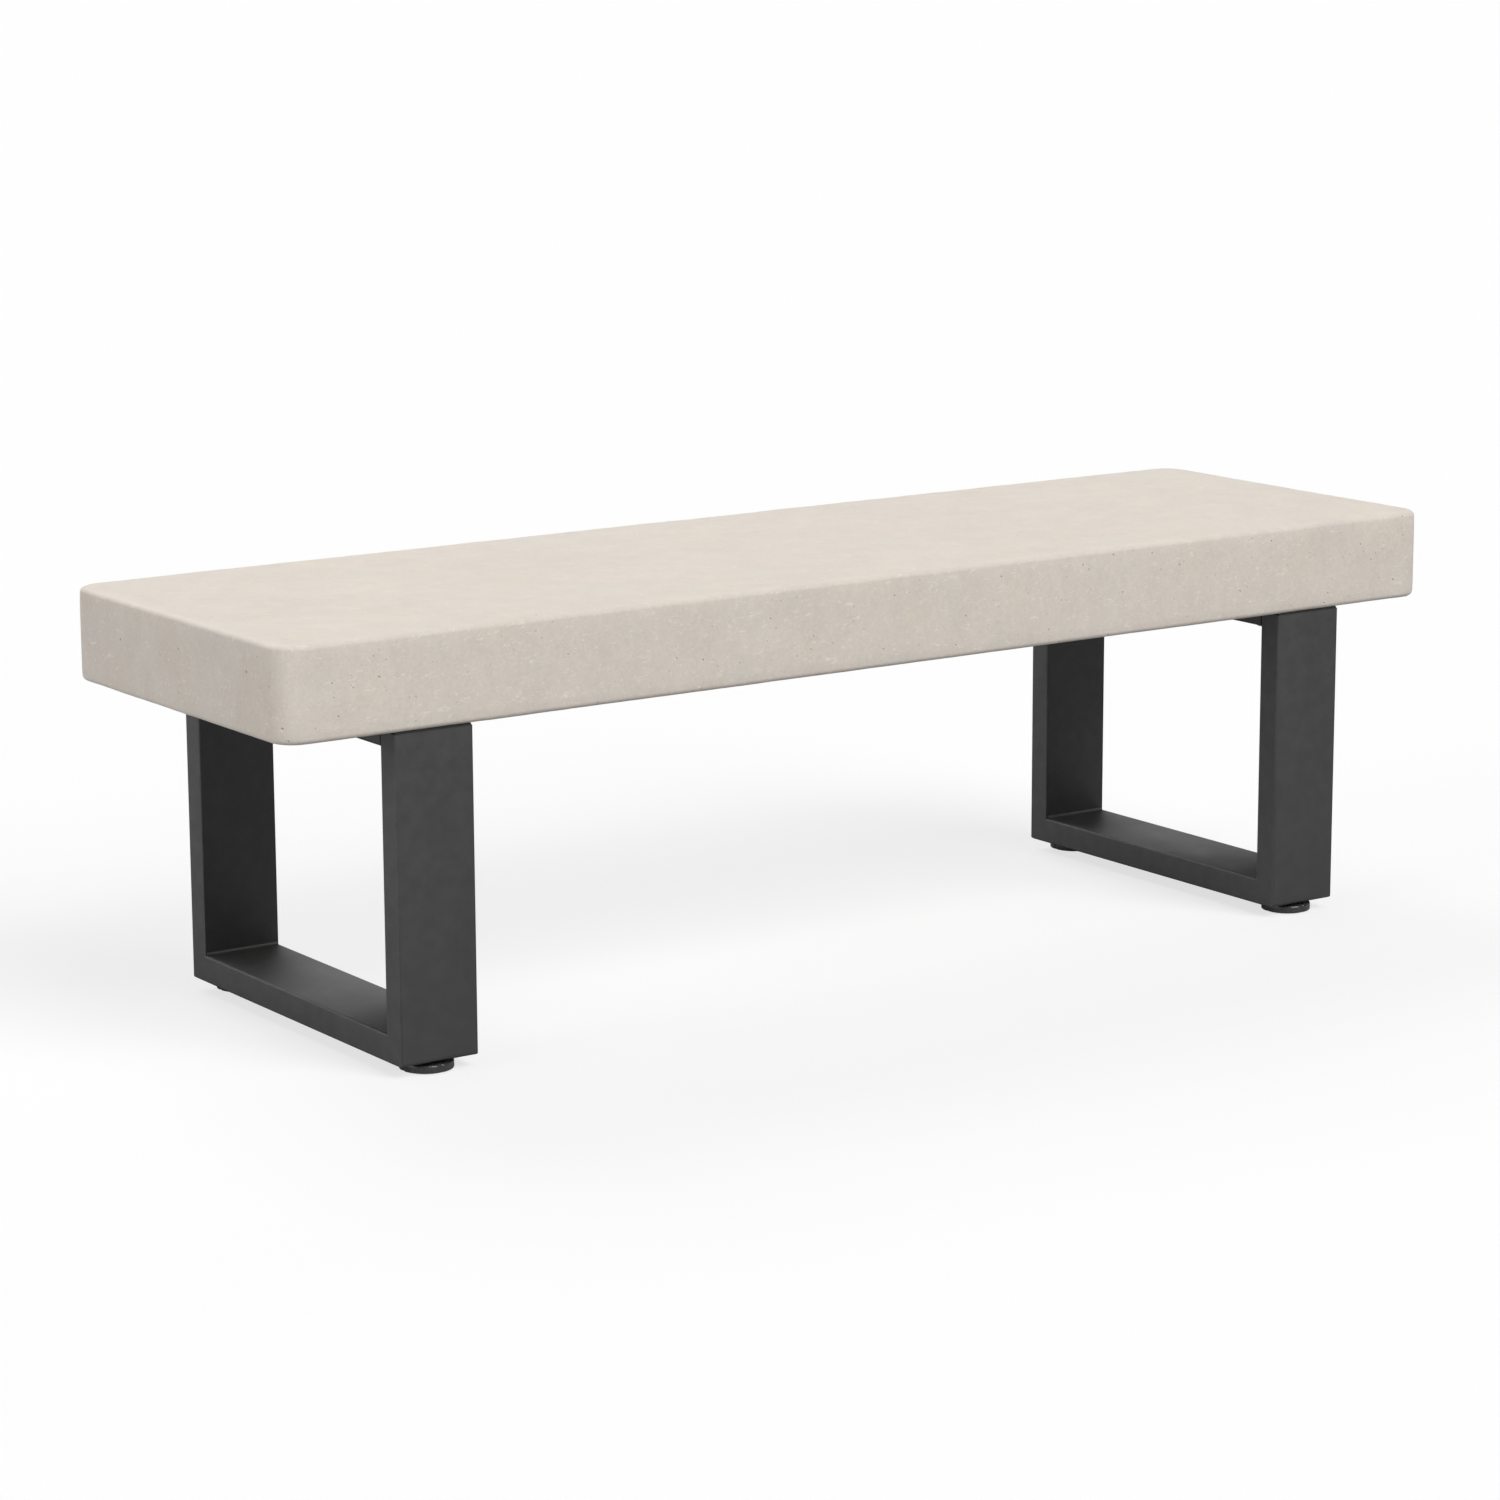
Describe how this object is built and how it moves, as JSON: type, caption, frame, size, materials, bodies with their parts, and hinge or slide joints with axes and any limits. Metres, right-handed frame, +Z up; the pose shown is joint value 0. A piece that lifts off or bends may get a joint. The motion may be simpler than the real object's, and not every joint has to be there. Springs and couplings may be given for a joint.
{
  "type": "backless bench",
  "caption": "Backless street bench: a thick cast concrete seat with rounded corners on two dark steel loop legs with screw-adjusted feet.",
  "frame": {"origin": "on the floor under the middle of the seat, feet at their middle setting", "axes": "+X along the seat, +Y to the back, +Z up"},
  "size_m": [1.5, 0.455, 0.455],
  "materials": {
    "concrete": "fair-faced cast concrete, fine speckle, sealed matt",
    "rebar_steel": "ribbed reinforcing steel, mill finish",
    "leg_coating": "dark grey powder coat, fine texture",
    "gasket_rubber": "matt EPDM",
    "zinc_steel": "zinc plated",
    "stud_steel": "zinc plated thread",
    "disc_finish": "black, satin",
    "sole_rubber": "matt"
  },
  "bodies": {
    "bench": {"seat_slab": "concrete", "rebar_bars": "rebar_steel", "rebar_stirrups": "rebar_steel", "left_front_upright": "leg_coating", "left_back_upright": "leg_coating", "left_bottom_rail": "leg_coating", "left_top_plate": "leg_coating", "left_welds": "leg_coating", "left_front_cap": "leg_coating", "left_back_cap": "leg_coating", "left_gasket": "gasket_rubber", "left_sockets": "zinc_steel", "left_bolts": "zinc_steel", "left_washers": "zinc_steel", "right_front_upright": "leg_coating", "right_back_upright": "leg_coating", "right_bottom_rail": "leg_coating", "right_top_plate": "leg_coating", "right_welds": "leg_coating", "right_front_cap": "leg_coating", "right_back_cap": "leg_coating", "right_gasket": "gasket_rubber", "right_sockets": "zinc_steel", "right_bolts": "zinc_steel", "right_washers": "zinc_steel", "front_left_insert": "zinc_steel", "back_left_insert": "zinc_steel", "front_right_insert": "zinc_steel", "back_right_insert": "zinc_steel"},
    "front_left_sole": {"front_left_sole": "sole_rubber"},
    "front_left_screw": {"front_left_disc": "disc_finish", "front_left_stud": "stud_steel"},
    "back_left_sole": {"back_left_sole": "sole_rubber"},
    "back_left_screw": {"back_left_disc": "disc_finish", "back_left_stud": "stud_steel"},
    "front_right_sole": {"front_right_sole": "sole_rubber"},
    "front_right_screw": {"front_right_disc": "disc_finish", "front_right_stud": "stud_steel"},
    "back_right_sole": {"back_right_sole": "sole_rubber"},
    "back_right_screw": {"back_right_disc": "disc_finish", "back_right_stud": "stud_steel"}
  },
  "joints": [
    {"name": "front_left_height", "type": "slide", "parent": "bench", "child": "front_left_sole", "axis": [0, 0, -1], "range_m": [-0.00151, 0.0121]},
    {"name": "front_left_turn", "type": "hinge", "parent": "front_left_sole", "child": "front_left_screw", "pos_m": [-0.577, -0.1955, 0.005], "axis": [0, 0, -1], "range_deg": [-360, 2880]},
    {"name": "back_left_height", "type": "slide", "parent": "bench", "child": "back_left_sole", "axis": [0, 0, -1], "range_m": [-0.00151, 0.0121]},
    {"name": "back_left_turn", "type": "hinge", "parent": "back_left_sole", "child": "back_left_screw", "pos_m": [-0.577, 0.1955, 0.005], "axis": [0, 0, -1], "range_deg": [-360, 2880]},
    {"name": "front_right_height", "type": "slide", "parent": "bench", "child": "front_right_sole", "axis": [0, 0, -1], "range_m": [-0.00151, 0.0121]},
    {"name": "front_right_turn", "type": "hinge", "parent": "front_right_sole", "child": "front_right_screw", "pos_m": [0.577, -0.1955, 0.005], "axis": [0, 0, -1], "range_deg": [-360, 2880]},
    {"name": "back_right_height", "type": "slide", "parent": "bench", "child": "back_right_sole", "axis": [0, 0, -1], "range_m": [-0.00151, 0.0121]},
    {"name": "back_right_turn", "type": "hinge", "parent": "back_right_sole", "child": "back_right_screw", "pos_m": [0.577, 0.1955, 0.005], "axis": [0, 0, -1], "range_deg": [-360, 2880]}
  ],
  "couplings": [
    {"joint": "front_left_height", "follows": "front_left_turn", "m_per_rad": 0.00023873},
    {"joint": "back_left_height", "follows": "back_left_turn", "m_per_rad": 0.00023873},
    {"joint": "front_right_height", "follows": "front_right_turn", "m_per_rad": 0.00023873},
    {"joint": "back_right_height", "follows": "back_right_turn", "m_per_rad": 0.00023873}
  ]
}
